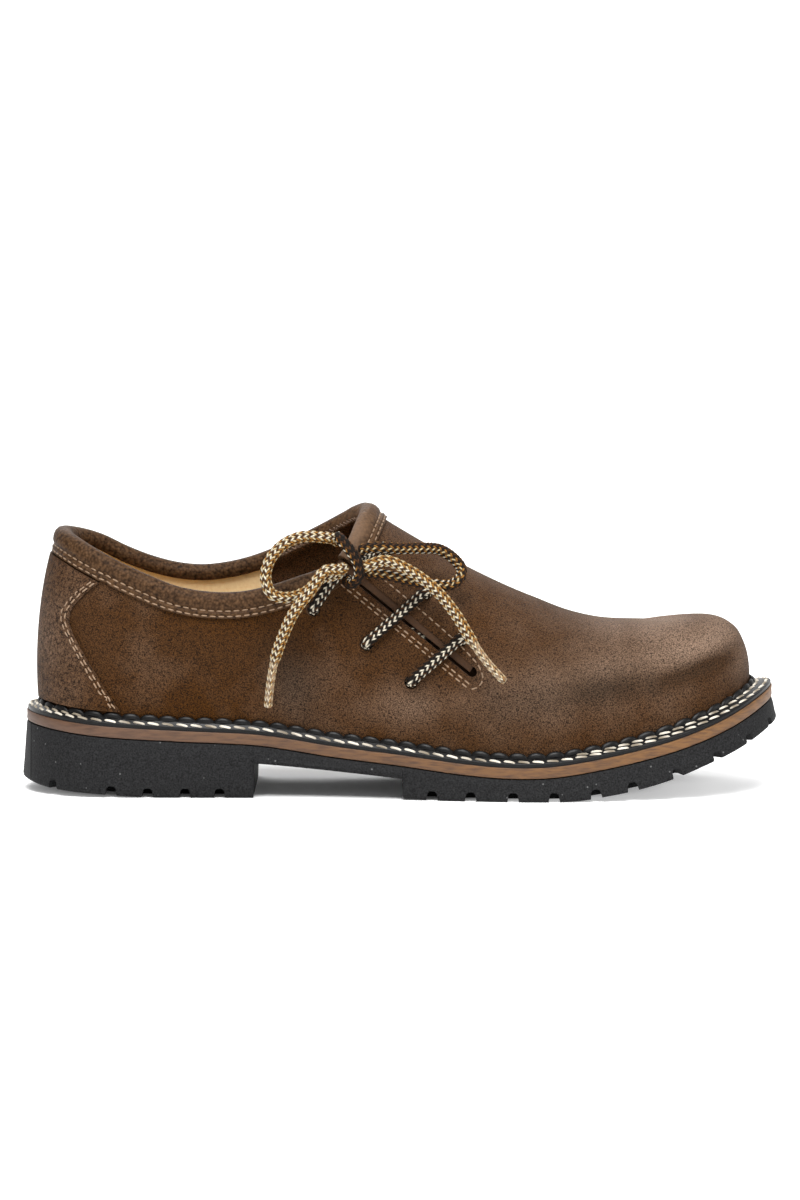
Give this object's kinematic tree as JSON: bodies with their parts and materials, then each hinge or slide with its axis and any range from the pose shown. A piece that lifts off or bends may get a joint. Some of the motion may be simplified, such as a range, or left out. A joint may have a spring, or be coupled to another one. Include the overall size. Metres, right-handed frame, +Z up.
{
  "type": "haferl shoe",
  "caption": "Low side-laced haferl shoe for the right foot: hollow leather upper, scalloped welt, leather midsole, lugged rubber sole and a round lace tied in a bow.",
  "frame": {"origin": "middle of the sole's outline, on the floor under the heel and the ball", "axes": "+X towards the toe, +Z up, +Y towards the inner side of the foot, so the laced outer side faces -Y"},
  "size_m": [0.2994, 0.1066, 0.1128],
  "materials": {
    "black_rubber": "matte moulded rubber",
    "sole_leather": "stained, trimmed edge",
    "black_welt": "black, satin",
    "tan_lining": "smooth undyed lining",
    "brown_nubuck": "oiled nubuck with a burnished bloom",
    "collar_leather": "smooth soft leather",
    "flecked_cord": "braided cream, ochre and dark brown"
  },
  "bodies": {
    "root": {"outsole": "black_rubber", "midsole": "sole_leather", "welt": "black_welt", "insole": "tan_lining", "upper": "brown_nubuck", "heel_counter": "brown_nubuck", "collar_binding": "collar_leather", "tongue": "brown_nubuck", "lacing": "flecked_cord", "lace_knot": "flecked_cord", "lace_loop_back": "flecked_cord", "lace_loop_front": "flecked_cord", "lace_end_back": "flecked_cord", "lace_end_front": "flecked_cord"}
  },
  "joints": []
}
